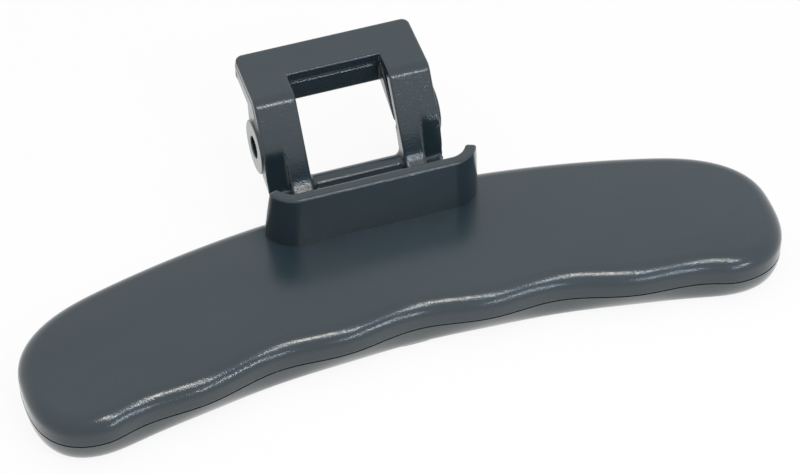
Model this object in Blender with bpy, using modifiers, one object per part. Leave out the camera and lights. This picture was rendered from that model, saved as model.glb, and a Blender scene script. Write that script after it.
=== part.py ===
"""Door handle of a front-loading washing machine, as it lies on its rear side.

Two mouldings: the front moulding, a waved grip shell with a collar and a gooseneck lug,
and the back cover that closes the grip. X runs along the grip, Y towards the lug and
+Z up, away from the machine. Lengths are in metres. The plan of the grip is drawn with
Y = 0 at the middle of its outer edge, and the whole handle is then moved so that the
origin is at the bottom centre of its bounding box.
"""

import math

import bmesh
import bpy
import numpy as np

MM = 0.001
TAU = 2 * math.pi

# Grip, plan
GRIP_LENGTH = 160 * MM
GRIP_WIDTH = 36.2 * MM          # across the middle
OUTER_RADIUS = 217 * MM         # convex far edge
INNER_RADIUS = 254 * MM         # concave near edge
CAP_LENGTH = 20.6 * MM          # each round end
CAP_POWER = 2.56                # 2 is an ellipse, more is squarer
CAP_SHIFT = 2.9 * MM            # how far the tip leans to the far edge
WAVE_PITCH = 30 * MM
WAVE_DEPTH = 0.75 * MM          # half of the height from groove to crest
WAVE_COUNT = 5
WAVE_FADE = 9 * MM              # run-out beyond the last groove

# Grip, section
GRIP_HEIGHT = 11.8 * MM         # to the flat of the rim
CROWN = 0.5 * MM                # rise of the top face above its rim
RIM_RADIUS = 3.6 * MM
WALL = 2.3 * MM
SEAM_HEIGHT = 5.1 * MM          # top edge of the back cover
SEAM_GAP = 0.3 * MM             # between the two mouldings
COVER_TAPER = 2.6 * MM          # the cover's underside is this much smaller
COVER_WALL = 2.2 * MM
LIP_HEIGHT = 2.3 * MM           # locating lip above the seam
LIP_WALL = 1.3 * MM
LIP_GAP = 0.3 * MM

# Small marks on the back cover
TAB_WIDTH = 6.6 * MM
TAB_REACH = 0.9 * MM            # beyond the cover's underside
TAB_HEIGHT = 1.5 * MM
FOOT_INSET = 5.2 * MM           # from the grip's tip; on the edge of the underside, near side
FOOT_DIAMETER = 2.8 * MM
FOOT_HEIGHT = 2.4 * MM

# Collar
COLLAR_FRONT = 11.6 * MM        # its front face lies this far in from the grip's far edge
COLLAR_REACH = 4.1 * MM         # beyond the lug's side, at the foot
COLLAR_CORNER = 6.5 * MM        # outer corner radius in plan
COLLAR_WALL = 2.3 * MM
COLLAR_RISE = 13.2 * MM         # above the grip's top face
COLLAR_TURN_FOOT = math.radians(88)     # how far each end turns back at the foot
COLLAR_TURN_TOP = math.radians(68)      # and at the top
COLLAR_DRAFT = 0.4 * MM         # the top is this much shorter at each end
COLLAR_EDGE = 0.5 * MM          # rounding of the top edge

# Lug
LUG_HALF = 19.0 * MM            # half width over the cheeks
LUG_TOP = 31.0 * MM
LUG_BACK = 27.6 * MM
TOP_FALL = 0.6 * MM             # the top plate drops this much from back to fold
FOLD_Y = 12.9 * MM              # where slope and top plate meet
FOLD_RADIUS = 3.0 * MM
SLOPE_FOOT_Y = 0.5 * MM         # where the slope would meet the floor
FLARE_RADIUS = 9.5 * MM
FLARE_SINK = 0.15 * MM          # the flare's own foot lies this far below the floor
FLOOR_RISE = 0.4 * MM           # of the lug's floor above the grip's rim
WEB = 2.5 * MM                  # thickness of slope and top plate
CHEEK_WALL = 1.3 * MM
SKIRT = 4.6 * MM                # height of the top plate's side and rear edge
SKIRT_WALL = 2.0 * MM
LUG_CORNER = 1.7 * MM           # rear corners in plan
SIDE_FOOT_Y = 4.1 * MM          # beside each strut the front drops steeply to the floor
SIDE_BEND_Z = 21.2 * MM         # from this height on the slope
SIDE_WALL = 2.2 * MM
SIDE_PROUD = 0.8 * MM           # cheek and side wall start this far ahead and are cut flush
LUG_EDGE = 0.45 * MM            # rounding of the lug's edges

# Window
WINDOW_SIDE = 8.9 * MM          # from the lug's side to the window
WINDOW_BACK = 19.0 * MM
WINDOW_LIP = 8.0 * MM           # depth of the wall round the window's upper part
WINDOW_WALL = 2.3 * MM
STRUT_SIDE = 4.5 * MM           # from the lug's side to the strut beside the window
STRUT_KNEE = (9.2 * MM, 19.4 * MM)      # where the deep wall starts
STRUT_REAR = 6.8 * MM
BAR_Y = 4.4 * MM
BAR_RADIUS = 2.1 * MM

# Pivot
PIVOT_Y = 12.4 * MM
PIVOT_Z = 18.8 * MM
PIVOT_DIAMETER = 4.8 * MM
LOBE_RADIUS = 5.8 * MM
BOSS_PROUD = 0.6 * MM
LOBE_STEP = 0.6 * MM            # the cheek's own outline stays this far inside the lobe
BOSS_RADIUS = 3.9 * MM
BOSS_LENGTH = 2.2 * MM          # inside the cheek

# Root, behind the grip's far edge
ROOT_SIDE = 0.8 * MM            # the root is this much narrower at each side
ROOT_BACK = 6.9 * MM
ROOT_STEP = 0.5 * MM            # the root stops this far above the seam
CORE_WALL = 2.3 * MM

# Mesh fineness
ARC_POINTS = 47
CAP_POINTS = 15
ROUND_SEGMENTS = 40
OVERRUN = 2 * MM                # a cutter passes this far beyond what it cuts

FRONT_SEAM = SEAM_HEIGHT + SEAM_GAP
FLOOR = GRIP_HEIGHT + FLOOR_RISE
INSIDE_TOP = GRIP_HEIGHT - WALL / 2     # a level inside the grip's top wall
SLOPE_TURN = (FOLD_Y - SLOPE_FOOT_Y) / (LUG_TOP - TOP_FALL - FLOOR)     # Y per Z on the slope
SIDE_BEND = (SLOPE_FOOT_Y + SLOPE_TURN * (SIDE_BEND_Z - FLOOR), SIDE_BEND_Z)
COLLAR_HALF = LUG_HALF + COLLAR_REACH
WINDOW_HALF = LUG_HALF - WINDOW_SIDE
STRUT_OUTER = LUG_HALF - STRUT_SIDE
ROOT_HALF = LUG_HALF - ROOT_SIDE

PLASTIC = (0.055, 0.068, 0.078, 1.0)
COVER_PLASTIC = (0.062, 0.074, 0.082, 1.0)


def clear_scene():
    for obj in list(bpy.data.objects):
        bpy.data.objects.remove(obj, do_unlink=True)


def collection(name, hidden=False):
    made = bpy.data.collections.new(name)
    bpy.context.scene.collection.children.link(made)
    made.hide_render = hidden
    return made


def material(name, colour, roughness):
    made = bpy.data.materials.new(name)
    made.use_nodes = True
    shader = made.node_tree.nodes["Principled BSDF"]
    shader.inputs["Base Color"].default_value = colour
    shader.inputs["Roughness"].default_value = roughness
    shader.inputs["Metallic"].default_value = 0.0
    made.diffuse_color = colour
    return made


# Plan of the grip

def outer_edge(x):
    """Far edge: an arc through (0, 0), falling away to both sides."""
    return np.sqrt(OUTER_RADIUS**2 - x**2) - OUTER_RADIUS


def inner_edge(x):
    """Near edge: a flatter arc, one grip width nearer."""
    return np.sqrt(INNER_RADIUS**2 - x**2) - INNER_RADIUS - GRIP_WIDTH


def spine(x):
    return (outer_edge(x) + inner_edge(x)) / 2


def smooth_step(t):
    t = np.clip(t, 0, 1)
    return t * t * (3 - 2 * t)


def grip_outline():
    """Points round the grip, the spine point of each, and how much of the wave each takes.

    The straight-sampled part holds both arcs; each end is a superellipse
    (cos^(2/n), sin^(2/n)) whose sides run on along the arcs' tangents.
    """
    reach = GRIP_LENGTH / 2 - CAP_LENGTH
    x = np.linspace(-reach, reach, ARC_POINTS)
    far = np.stack([x, outer_edge(x)], 1)
    near = np.stack([x[::-1], inner_edge(x[::-1])], 1)
    theta = np.linspace(math.pi / 2, -math.pi / 2, CAP_POINTS + 2)[1:-1]
    along = np.abs(np.cos(theta)) ** (2 / CAP_POWER)
    across = np.sign(np.sin(theta)) * np.abs(np.sin(theta)) ** (2 / CAP_POWER)
    x_cap = reach + CAP_LENGTH * along
    far_line = outer_edge(reach) - reach / math.sqrt(OUTER_RADIUS**2 - reach**2) * (x_cap - reach)
    near_line = inner_edge(reach) - reach / math.sqrt(INNER_RADIUS**2 - reach**2) * (x_cap - reach)
    middle = (far_line + near_line) / 2 + CAP_SHIFT
    y_cap = np.where(across > 0, middle + (far_line - middle) * across,
                     middle + (middle - near_line) * across)
    right = np.stack([x_cap, y_cap], 1)
    left = right[::-1] * (-1, 1)
    outline = np.concatenate([far, right, near, left])
    ends = np.full(CAP_POINTS, reach)
    spine_x = np.concatenate([x, ends, x[::-1], -ends])
    near_share = np.concatenate([0 * x, np.clip(-across, 0, 1) ** 2, 0 * x + 1,
                                 np.clip(-across[::-1], 0, 1) ** 2])
    return outline, np.stack([spine_x, spine(spine_x)], 1), near_share


def outward(outline):
    """Unit normals of a clockwise outline, pointing out."""
    run = np.roll(outline, -1, 0) - np.roll(outline, 1, 0)
    run /= np.linalg.norm(run, axis=1)[:, None]
    return np.stack([-run[:, 1], run[:, 0]], 1)


def waved(outline, near_share, share):
    """Finger grooves: the near edge moves by depth * cos(turns), a groove at x = 0."""
    last = (WAVE_COUNT - 1) / 2 * WAVE_PITCH
    fade = 1 - smooth_step((np.abs(outline[:, 0]) - last) / WAVE_FADE)
    move = WAVE_DEPTH * share * near_share * fade * np.cos(TAU * outline[:, 0] / WAVE_PITCH)
    return outline + np.stack([0 * move, move], 1)


OUTLINE, SPINE, NEAR_SHARE = grip_outline()


def grip_ring(inset, z, wave=1.0):
    """The outline moved in by inset, at height z, with this share of the wave."""
    plan = waved(OUTLINE, NEAR_SHARE, wave)
    plan = plan - inset * outward(plan)
    return np.column_stack([plan, np.full(len(plan), z)])


def toward_spine(ring, share, z):
    """A ring drawn in towards the spine, which it reaches at share 1."""
    plan = ring[:, :2] * (1 - share) + SPINE * share
    return np.column_stack([plan, np.full(len(plan), z)])


# Meshes

def place(obj, target, mat=None, cutter=False):
    target.objects.link(obj)
    if mat is not None:
        obj.data.materials.append(mat)
    if cutter:
        obj.hide_render = True
        obj.display_type = "WIRE"
    return obj


def loft(name, rings):
    """Skin over rings of equally many points. A ring that has run together is welded."""
    count = len(rings[0])
    mesh = bpy.data.meshes.new(name)
    body = bmesh.new()
    rows = [[body.verts.new(point) for point in ring] for ring in rings]
    for low, high in zip(rows, rows[1:]):
        for i in range(count):
            j = (i + 1) % count
            body.faces.new((low[i], low[j], high[j], high[i]))
    bmesh.ops.remove_doubles(body, verts=body.verts, dist=0.00001)
    bmesh.ops.dissolve_degenerate(body, edges=body.edges, dist=0.00001)
    bmesh.ops.recalc_face_normals(body, faces=body.faces)
    body.to_mesh(mesh)
    body.free()
    return bpy.data.objects.new(name, mesh)


def evaluated_mesh(obj):
    bpy.context.view_layer.update()
    graph = bpy.context.evaluated_depsgraph_get()
    return bpy.data.meshes.new_from_object(obj.evaluated_get(graph))


def plate(name, outline, low, high, target):
    """A flat outline given as (Y, Z) points, extruded along X from low to high."""
    curve = bpy.data.curves.new(name, "CURVE")
    curve.dimensions = "2D"
    curve.fill_mode = "BOTH"
    curve.extrude = (high - low) / 2
    line = curve.splines.new("POLY")
    line.points.add(len(outline) - 1)
    for point, (y, z) in zip(line.points, outline):
        point.co = (y, z, 0, 1)
    line.use_cyclic_u = True
    drawn = bpy.data.objects.new(name + "_curve", curve)
    bpy.context.scene.collection.objects.link(drawn)
    solid = bpy.data.objects.new(name, evaluated_mesh(drawn))
    bpy.data.objects.remove(drawn, do_unlink=True)
    weld(solid)
    solid.location.x = (low + high) / 2
    solid.rotation_euler = (math.pi / 2, 0, math.pi / 2)
    return place(solid, target, cutter=True)


def weld(solid):
    body = bmesh.new()
    body.from_mesh(solid.data)
    bmesh.ops.remove_doubles(body, verts=body.verts, dist=0.00001)
    bmesh.ops.recalc_face_normals(body, faces=body.faces)
    body.to_mesh(solid.data)
    body.free()


def block(name, x, y, z, target):
    """A box between two X, two Y and two Z values."""
    bpy.ops.mesh.primitive_cube_add(size=1)
    solid = bpy.context.object
    solid.name = name
    size = [high - low for low, high in (x, y, z)]
    centre = [(low + high) / 2 for low, high in (x, y, z)]
    for vertex in solid.data.vertices:
        vertex.co = [c * s for c, s in zip(vertex.co, size)]
    solid.location = centre
    return moved_to(solid, target)


def rod(name, radius, x, y, z, target):
    """A cylinder along X between two X values."""
    bpy.ops.mesh.primitive_cylinder_add(vertices=ROUND_SEGMENTS, radius=radius, depth=x[1] - x[0])
    solid = bpy.context.object
    solid.name = name
    solid.rotation_euler = (0, math.pi / 2, 0)
    solid.location = ((x[0] + x[1]) / 2, y, z)
    return moved_to(solid, target)


def moved_to(solid, target):
    for holder in list(solid.users_collection):
        holder.objects.unlink(solid)
    return place(solid, target, cutter=True)


def boolean(obj, operation, other):
    modifier = obj.modifiers.new(operation.title() + " " + other.name, "BOOLEAN")
    modifier.operation = operation
    modifier.solver = "EXACT"
    modifier.object = other


def bevel(obj, width, segments, angle):
    modifier = obj.modifiers.new("Edges", "BEVEL")
    modifier.width = width
    modifier.segments = segments
    modifier.limit_method = "ANGLE"
    modifier.angle_limit = angle
    modifier.use_clamp_overlap = True


def both_sides(low, high):
    """The X range on the right and its mirror image on the left."""
    return (("right", low, high), ("left", -high, -low))


# Profiles of the lug, as (Y, Z) points

def rounded(corners):
    """A path through (y, z, radius) corners, with an arc at each corner that has a radius."""
    path = []
    for i, (y, z, radius) in enumerate(corners):
        here = np.array((y, z))
        if radius == 0 or i in (0, len(corners) - 1):
            path.append(here)
            continue
        back = np.array(corners[i - 1][:2]) - here
        ahead = np.array(corners[i + 1][:2]) - here
        back /= np.linalg.norm(back)
        ahead /= np.linalg.norm(ahead)
        half = math.acos(np.clip(back @ ahead, -1, 1)) / 2
        centre = here + (back + ahead) / np.linalg.norm(back + ahead) * radius / math.sin(half)
        start = here + back * radius / math.tan(half) - centre
        turn = math.pi - 2 * half
        sign = np.sign(back[1] * ahead[0] - back[0] * ahead[1])
        steps = max(2, round(turn / math.radians(9)))
        for k in range(steps + 1):
            a = sign * turn * k / steps
            spin = np.array(((math.cos(a), -math.sin(a)), (math.sin(a), math.cos(a))))
            path.append(centre + spin @ start)
    return path


def slope_direction():
    run = np.array((FOLD_Y - SLOPE_FOOT_Y, LUG_TOP - TOP_FALL - FLOOR))
    return run / np.linalg.norm(run)


def gooseneck(depth):
    """The front face of floor, slope and top plate, moved back by depth into the material."""
    along = slope_direction()
    normal = np.array((along[1], -along[0])) * depth
    top_run = np.array((LUG_BACK - FOLD_Y, TOP_FALL))
    fall = top_run / np.linalg.norm(top_run)
    foot_z = FLOOR - FLARE_SINK - depth
    foot_y = SLOPE_FOOT_Y + normal[0] + (foot_z - FLOOR - normal[1]) * along[0] / along[1]
    top_start = np.array((FOLD_Y, LUG_TOP - TOP_FALL)) + np.array((fall[1], -fall[0])) * depth
    start = np.array((SLOPE_FOOT_Y, FLOOR)) + normal
    sides = np.column_stack([along, -fall])
    reach = np.linalg.solve(sides, top_start - start)[0]
    fold = start + along * reach
    back_z = top_start[1] + (LUG_BACK - top_start[0]) * fall[1] / fall[0]
    return rounded([
        (-COLLAR_FRONT + COLLAR_WALL / 2, foot_z, 0),
        (foot_y, foot_z, FLARE_RADIUS + depth),
        (fold[0], fold[1], FOLD_RADIUS - depth),
        (LUG_BACK, back_z, 0),
    ])


def web_profile():
    """Flare, slope and top plate, with the skirt that hangs from the rear edge."""
    front = gooseneck(0)[1:]
    rear = gooseneck(WEB)[1:]
    skirt_low = LUG_TOP - SKIRT
    skirt_inner = LUG_BACK - SKIRT_WALL
    rear[-1] = np.array((skirt_inner, rear[-1][1]))
    skirt = [np.array((LUG_BACK, skirt_low)), np.array((skirt_inner, skirt_low))]
    return front + skirt + rear[::-1]


def cheek_profile():
    """Front edge, slope and top, the skirt's lower edge, and the lobe round the pivot."""
    along = slope_direction()
    inner = WEB / 2
    sunk = np.array((along[1], -along[0])) * inner
    slope_low = np.array(SIDE_BEND) + sunk
    fold = np.array((FOLD_Y, LUG_TOP - TOP_FALL)) + sunk
    outline = [
        (SIDE_FOOT_Y - SIDE_PROUD, FLOOR - FLOOR_RISE),
        (SIDE_BEND[0] - SIDE_PROUD / 4, SIDE_BEND_Z - inner),
        tuple(slope_low),
        (fold[0], LUG_TOP - TOP_FALL - inner),
        (LUG_BACK - SKIRT_WALL / 2, LUG_TOP - inner),
        (LUG_BACK - SKIRT_WALL / 2, LUG_TOP - SKIRT),
        (PIVOT_Y + LOBE_RADIUS, LUG_TOP - SKIRT - TOP_FALL),
    ]
    radius = LOBE_RADIUS - LOBE_STEP
    for k in range(13):
        a = math.radians(10 - k * 10)
        outline.append((PIVOT_Y + radius * math.cos(a), PIVOT_Z + radius * math.sin(a)))
    return outline


def side_wall_profile():
    """The wall beside a strut, from the floor up into the web."""
    low = FLOOR - WEB / 2
    return [
        (SIDE_FOOT_Y - SIDE_PROUD * 0.8, low),
        (SIDE_BEND[0] - SIDE_PROUD / 3, SIDE_BEND_Z - WEB / 2),
        (SIDE_BEND[0] + SIDE_WALL * 0.7, SIDE_BEND_Z),
        (SIDE_BEND[0] + SIDE_WALL * 0.9, SIDE_BEND_Z - WEB / 2),
        (SIDE_FOOT_Y + SIDE_WALL, low),
    ]


def side_cut_profile():
    """All that lies ahead of the side wall's front, below the bend."""
    steep = (SIDE_BEND[0] - SIDE_FOOT_Y) / (SIDE_BEND_Z - FLOOR)
    low = FLOOR - WEB / 2
    high = SIDE_BEND_Z + 2 * WEB
    return [
        (SIDE_FOOT_Y + steep * (high - FLOOR), high),
        (SIDE_FOOT_Y + steep * (low - FLOOR), low),
        (-COLLAR_FRONT - OVERRUN, low),
        (-COLLAR_FRONT - OVERRUN, high),
    ]


def window_frame_profile():
    """Deep wall beside and behind the window's upper part, thin strut below."""
    front = gooseneck(WEB / 2)[1:]
    top = [tuple(p) for p in front if p[0] < FOLD_Y]
    return top + [
        (WINDOW_BACK + WINDOW_WALL, LUG_TOP - WEB / 2),
        (WINDOW_BACK + WINDOW_WALL, LUG_TOP - WINDOW_LIP),
        (WINDOW_BACK, LUG_TOP - WINDOW_LIP),
        STRUT_KNEE,
        (STRUT_REAR, FLOOR + BAR_RADIUS),
        (STRUT_REAR, FLOOR - WEB / 2),
    ]


def root_profile():
    """Floor behind the collar, and the block that carries the lug."""
    inside = -WALL / 2
    return [
        (-COLLAR_FRONT + COLLAR_WALL / 2, FLOOR - WEB / 2),
        (-RIM_RADIUS, FLOOR - WEB / 2),
        (inside, GRIP_HEIGHT - RIM_RADIUS),
        (inside, FRONT_SEAM + ROOT_STEP),
        (ROOT_BACK, FRONT_SEAM + ROOT_STEP),
        (ROOT_BACK, FLOOR),
        (-COLLAR_FRONT + COLLAR_WALL / 2, FLOOR),
    ]


# The pieces

def grip_skin(target, mat):
    """Outer surface from the seam up over the rim to the crowned top, then Solidify."""
    rings = [grip_ring(0, FRONT_SEAM)]
    for k in range(7):
        a = math.radians(15 * k)
        rings.append(grip_ring(RIM_RADIUS * (1 - math.cos(a)),
                               GRIP_HEIGHT - RIM_RADIUS * (1 - math.sin(a))))
    rim = rings[-1]
    for share in (0.2, 0.55, 1.0):
        rise = CROWN * (1 - (1 - share) ** 2)
        rings.append(toward_spine(rim, share, GRIP_HEIGHT + rise))
    skin = loft("front_moulding", rings)
    place(skin, target, mat)
    solid = skin.modifiers.new("Wall", "SOLIDIFY")
    solid.thickness = WALL
    solid.offset = -1
    solid.use_even_offset = True
    return skin


def collar_ring(z):
    """Plan of the collar at height z: a straight wall whose ends turn back."""
    share = (z - INSIDE_TOP) / (GRIP_HEIGHT + COLLAR_RISE - INSIDE_TOP)
    turn = COLLAR_TURN_FOOT + (COLLAR_TURN_TOP - COLLAR_TURN_FOOT) * share
    centre_x = COLLAR_HALF - COLLAR_DRAFT * share - COLLAR_CORNER
    centre_y = -COLLAR_FRONT + COLLAR_CORNER
    half = []
    for radius in (COLLAR_CORNER, COLLAR_CORNER - COLLAR_WALL):
        arc = [(centre_x + radius * math.sin(turn * k / 8), centre_y - radius * math.cos(turn * k / 8))
               for k in range(9)]
        half.append(arc)
    outside = [(-x, y) for x, y in reversed(half[0])] + half[0]
    inside = list(reversed(half[1])) + [(-x, y) for x, y in half[1]]
    return np.array([(x, y, z) for x, y in outside + inside])


def capped_loft(name, rings):
    """A loft whose first and last rings are closed with a flat face."""
    solid = loft(name, rings)
    body = bmesh.new()
    body.from_mesh(solid.data)
    bmesh.ops.holes_fill(body, edges=[e for e in body.edges if e.is_boundary], sides=0)
    bmesh.ops.recalc_face_normals(body, faces=body.faces)
    body.to_mesh(solid.data)
    body.free()
    return solid


def make_collar(target):
    top = GRIP_HEIGHT + COLLAR_RISE
    solid = capped_loft("collar", [collar_ring(INSIDE_TOP), collar_ring(top)])
    place(solid, target, cutter=True)
    bevel(solid, COLLAR_EDGE, 2, math.radians(50))
    return solid


def rear_corner_plan():
    """Plan of the lug with its rounded rear corners, as (X, Y) points."""
    side, low, high = LUG_HALF, -COLLAR_FRONT - OVERRUN, LUG_BACK
    corners = []
    for sign in (1, -1):
        steps = [math.radians(9 * k) for k in range(11)]
        arc = [(sign * (side - LUG_CORNER + LUG_CORNER * math.cos(a)),
                high - LUG_CORNER + LUG_CORNER * math.sin(a)) for a in steps]
        corners += arc if sign > 0 else arc[::-1]
    return [(side, low)] + corners + [(-side, low)]


def make_root(target):
    """Root block, cored from below."""
    root = plate("root", root_profile(), -ROOT_HALF, ROOT_HALF, target)
    boolean(root, "DIFFERENCE", block("root_core", (CORE_WALL - ROOT_HALF, ROOT_HALF - CORE_WALL),
                                      (CORE_WALL / 2, ROOT_BACK - CORE_WALL),
                                      (0, FLOOR - CORE_WALL), target))
    return root


def make_lug(target):
    """Web, cheeks and side walls are joined and trimmed; frame, root and pivot follow."""
    web = plate("lug", web_profile(), -LUG_HALF, LUG_HALF, target)
    cheek_inner = LUG_HALF - CHEEK_WALL
    in_cheek = LUG_HALF - CHEEK_WALL / 2
    for side, low, high in both_sides(cheek_inner, LUG_HALF):
        boolean(web, "UNION", plate("cheek_" + side, cheek_profile(), low, high, target))
    for side, low, high in both_sides(STRUT_OUTER - CHEEK_WALL, in_cheek):
        boolean(web, "UNION", plate("side_wall_" + side, side_wall_profile(), low, high, target))
    for side, low, high in both_sides(STRUT_OUTER, LUG_HALF + OVERRUN):
        boolean(web, "DIFFERENCE", plate("side_cut_" + side, side_cut_profile(), low, high, target))
    trim = capped_loft("lug_plan", [np.array([(x, y, z) for x, y in rear_corner_plan()])
                                    for z in (0, LUG_TOP + OVERRUN)])
    boolean(web, "INTERSECT", place(trim, target, cutter=True))
    bevel(web, LUG_EDGE, 2, math.radians(40))
    frame = WINDOW_HALF + WINDOW_WALL
    boolean(web, "UNION", plate("window_frame", window_frame_profile(), -frame, frame, target))
    boolean(web, "DIFFERENCE", block("window", (-WINDOW_HALF, WINDOW_HALF),
                                     (-COLLAR_FRONT, WINDOW_BACK),
                                     (FLOOR - WEB - OVERRUN, LUG_TOP + OVERRUN), target))
    boolean(web, "UNION", make_root(target))
    bar = WINDOW_HALF + WINDOW_WALL / 2
    boolean(web, "UNION", rod("cross_bar", BAR_RADIUS, (-bar, bar), BAR_Y, FLOOR, target))
    for side, low, high in both_sides(cheek_inner - BOSS_LENGTH, in_cheek):
        boolean(web, "UNION", rod("boss_" + side, BOSS_RADIUS, (low, high), PIVOT_Y, PIVOT_Z, target))
    for side, low, high in both_sides(in_cheek, LUG_HALF + BOSS_PROUD):
        boolean(web, "UNION", rod("lobe_" + side, LOBE_RADIUS, (low, high), PIVOT_Y, PIVOT_Z, target))
    outside = LUG_HALF + BOSS_PROUD + OVERRUN
    for side, low, high in both_sides(STRUT_OUTER - OVERRUN, outside):
        boolean(web, "DIFFERENCE", rod("pivot_bore_" + side, PIVOT_DIAMETER / 2, (low, high),
                                       PIVOT_Y, PIVOT_Z, target))
    return web


def make_front(parts, helpers, mat):
    front = grip_skin(parts, mat)
    boolean(front, "UNION", make_collar(helpers))
    boolean(front, "UNION", make_lug(helpers))
    return front


def make_cover(parts, helpers, mat):
    """A dish with a tapering side, closed by its own floor, and a lip inside the grip's wall."""
    floor_ring = grip_ring(COVER_TAPER, 0, 0)
    rings = [toward_spine(floor_ring, 1, 0), floor_ring]
    for k in range(1, 6):
        a = math.radians(90 - 18 * k)
        height = SEAM_HEIGHT * (1 - math.sin(a))
        rings.append(grip_ring(COVER_TAPER * (1 - math.cos(a)), height, height / SEAM_HEIGHT))
    lip_outer = WALL + LIP_GAP
    lip_inner = lip_outer + LIP_WALL
    lip_top = SEAM_HEIGHT + LIP_HEIGHT
    rings.append(grip_ring(lip_outer, SEAM_HEIGHT))
    rings.append(grip_ring(lip_outer, lip_top))
    rings.append(grip_ring(lip_inner, lip_top))
    inner_ring = grip_ring(lip_inner, COVER_WALL)
    rings += [inner_ring, toward_spine(inner_ring, 1, COVER_WALL)]
    cover = loft("back_cover", rings)
    place(cover, parts, mat)
    edge = inner_edge(0) + COVER_TAPER
    boolean(cover, "UNION", block("tab", (-TAB_WIDTH / 2, TAB_WIDTH / 2),
                                  (edge - TAB_REACH, edge + COVER_WALL), (0, TAB_HEIGHT), helpers))
    near_corner = floor_ring[(floor_ring[:, 0] > 0) & (floor_ring[:, 1] < SPINE[:, 1])]
    near_corner = near_corner[np.argsort(near_corner[:, 0])]
    foot_x = GRIP_LENGTH / 2 - FOOT_INSET
    foot_y = np.interp(foot_x, near_corner[:, 0], near_corner[:, 1])
    for side, sign in (("right", 1), ("left", -1)):
        bpy.ops.mesh.primitive_cylinder_add(vertices=ROUND_SEGMENTS // 2, radius=FOOT_DIAMETER / 2,
                                            depth=FOOT_HEIGHT)
        foot = bpy.context.object
        foot.name = "foot_" + side
        foot.location = (sign * foot_x, foot_y, FOOT_HEIGHT / 2)
        boolean(cover, "UNION", moved_to(foot, helpers))
    return cover


def centre_on_origin(pieces, extra):
    """Puts the middle of the handle's depth at Y = 0, through one empty that carries all."""
    front_reach = min(grip_ring(0, 0, share)[:, 1].min() for share in (0, 1))
    handle = bpy.data.objects.new("handle", None)
    pieces[0].users_collection[0].objects.link(handle)
    for obj in pieces + extra:
        obj.parent = handle
    handle.location.y = -(front_reach + LUG_BACK) / 2


def shade(obj, angle):
    obj.data.shade_smooth()
    obj.data.set_sharp_from_angle(angle=angle)


def main():
    clear_scene()
    parts = collection("washing_machine_door_handle")
    helpers = collection("helpers", hidden=True)
    front = make_front(parts, helpers, material("front_plastic", PLASTIC, 0.42))
    cover = make_cover(parts, helpers, material("cover_plastic", COVER_PLASTIC, 0.45))
    centre_on_origin([front, cover], list(helpers.objects))
    for obj in (front, cover):
        shade(obj, math.radians(30))


main()
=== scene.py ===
# %% [markdown]
# # A washing machine door handle
#
# This notebook dresses a measured model of a door handle until it looks like the moulded
# plastic part. The handle is two injection mouldings: the front one is a finger-waved grip
# with a collar and a gooseneck lug, and the back one is a shallow cover. The measured model
# could simply be given a material, but its edges are plain. So it stays as the frame, and
# finer surfaces with soft moulded edges stand in front of it. They are worked out with
# numpy from the same sizes.

# %% Load the frame
import math

import bpy
import numpy as np
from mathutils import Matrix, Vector


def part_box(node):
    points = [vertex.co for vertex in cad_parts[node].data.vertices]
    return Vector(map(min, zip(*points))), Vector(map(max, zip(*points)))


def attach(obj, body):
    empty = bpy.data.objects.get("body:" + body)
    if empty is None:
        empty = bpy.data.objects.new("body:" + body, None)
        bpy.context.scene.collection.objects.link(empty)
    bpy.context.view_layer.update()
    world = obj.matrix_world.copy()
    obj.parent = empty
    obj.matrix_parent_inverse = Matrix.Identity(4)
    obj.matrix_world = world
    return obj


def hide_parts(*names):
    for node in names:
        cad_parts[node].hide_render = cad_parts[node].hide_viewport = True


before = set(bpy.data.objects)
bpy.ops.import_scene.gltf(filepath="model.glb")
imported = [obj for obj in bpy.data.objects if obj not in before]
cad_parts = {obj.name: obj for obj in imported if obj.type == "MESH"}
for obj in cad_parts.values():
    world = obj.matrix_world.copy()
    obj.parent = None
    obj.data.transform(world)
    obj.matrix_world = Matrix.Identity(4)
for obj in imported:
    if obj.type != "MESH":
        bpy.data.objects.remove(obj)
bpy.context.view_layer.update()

# %% [markdown]
# ## Sizes
#
# All sizes are in millimetres and are the ones of the measured model, so each surface lands
# where its solid is. They could be read off the frame's meshes, but a named size says what
# it is. Y = 0 is the middle of the grip's far edge. The frame has its origin elsewhere, so
# one shift along Y is read from the frame: the rear of the lug is known in both.

# %% Sizes of the grip
GRIP_LENGTH = 160.0
GRIP_WIDTH = 36.2               # across the middle
OUTER_RADIUS = 217.0            # convex far edge
INNER_RADIUS = 254.0            # concave near edge
CAP_LENGTH = 20.6               # each round end
CAP_POWER = 2.56                # 2 is an ellipse, more is squarer
CAP_SHIFT = 2.9                 # how far the tip leans to the far edge
WAVE_PITCH = 30.0
WAVE_DEPTH = 0.75               # half of the height from groove to crest
WAVE_COUNT = 5
WAVE_FADE = 9.0                 # run-out beyond the last groove
GRIP_HEIGHT = 11.8              # to the flat of the rim
CROWN = 0.5                     # rise of the top face above its rim
RIM_RADIUS = 3.6
WALL = 2.3
SEAM_HEIGHT = 5.1               # nominal top edge of the back cover
SEAM_GAP = 0.3                  # between the two mouldings
SEAM_EDGE = 0.6                 # soft edge of the shell at the seam
SEAM_SHOWN = 0.15               # the gap that is left to see
COVER_TAPER = 2.6               # the cover's underside is this much smaller
COVER_WALL = 2.2
LIP_HEIGHT = 2.3                # locating lip above the seam
LIP_WALL = 1.3
LIP_GAP = 0.3
print("grip, mm:", GRIP_LENGTH, "x", GRIP_WIDTH, "x", GRIP_HEIGHT)

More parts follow.
